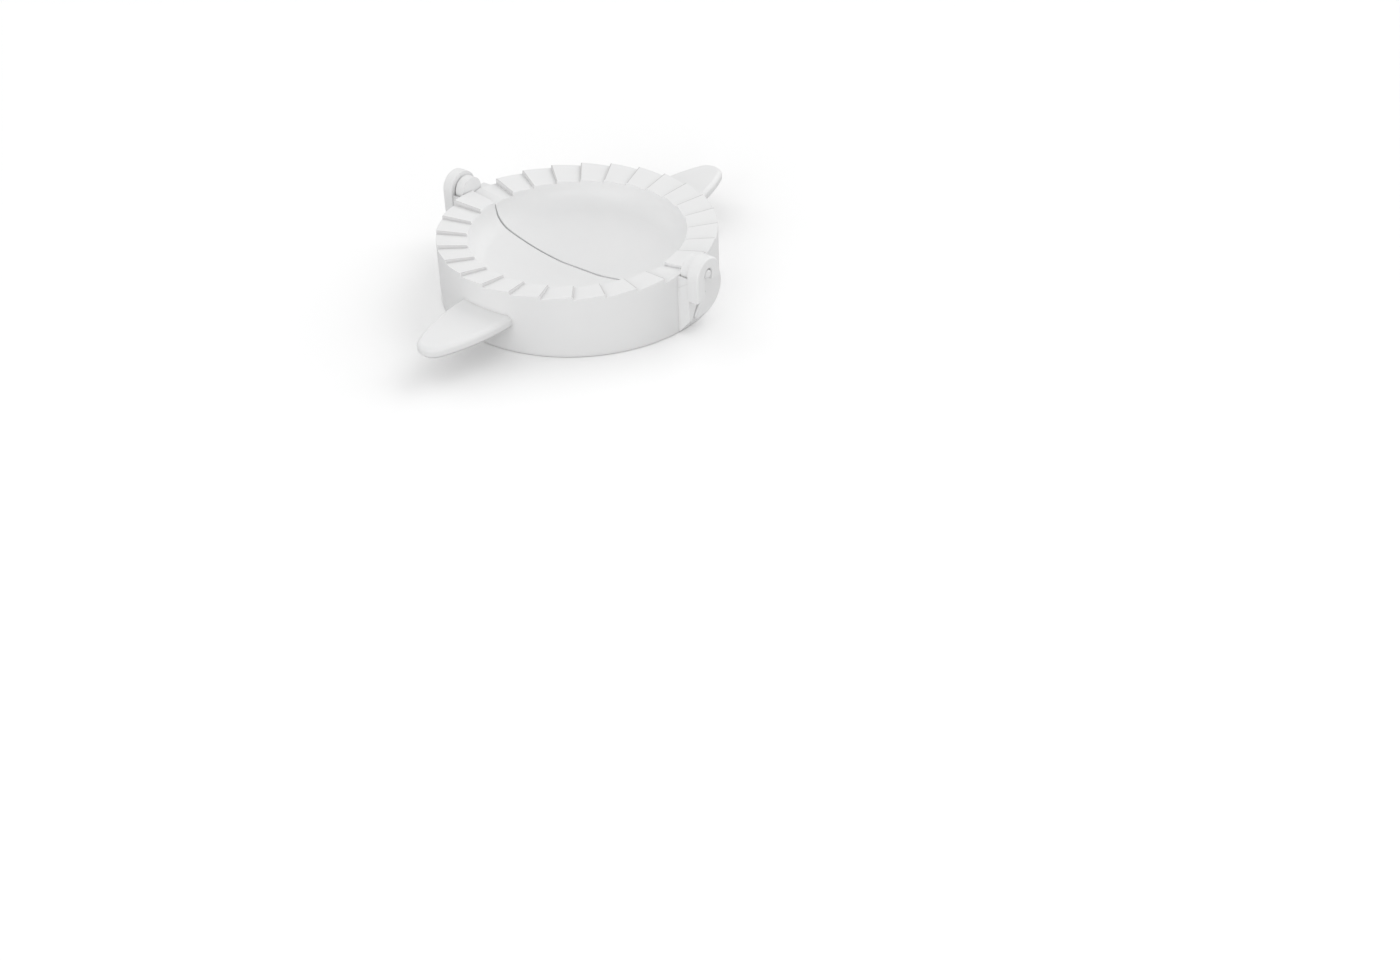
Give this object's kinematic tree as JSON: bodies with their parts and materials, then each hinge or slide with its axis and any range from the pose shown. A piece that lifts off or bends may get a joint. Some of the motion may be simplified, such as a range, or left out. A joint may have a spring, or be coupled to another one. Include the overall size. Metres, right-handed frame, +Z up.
{
  "type": "empanada press",
  "caption": "Round hinged hand mould: laid open its skirt cuts a disc of dough, and folded over the filling its two toothed rims mesh and crimp the edge.",
  "frame": {"origin": "centre of the cutting circle on the surface that the open press stands on", "axes": "+X along the hinge axis, +Y towards the finger tab of the pin half, +Z up, towards the teeth"},
  "size_m": [0.1178, 0.162, 0.0293],
  "materials": {
    "white_plastic": "satin injection-moulded white"
  },
  "bodies": {
    "hook_half": {"hook_half": "white_plastic"},
    "pin_half": {"pin_half": "white_plastic"}
  },
  "joints": [
    {"name": "fold_hinge", "type": "hinge", "parent": "hook_half", "child": "pin_half", "pos_m": [0, 0, 0.023], "axis": [1, 0, 0], "range_deg": [0, 180]}
  ]
}
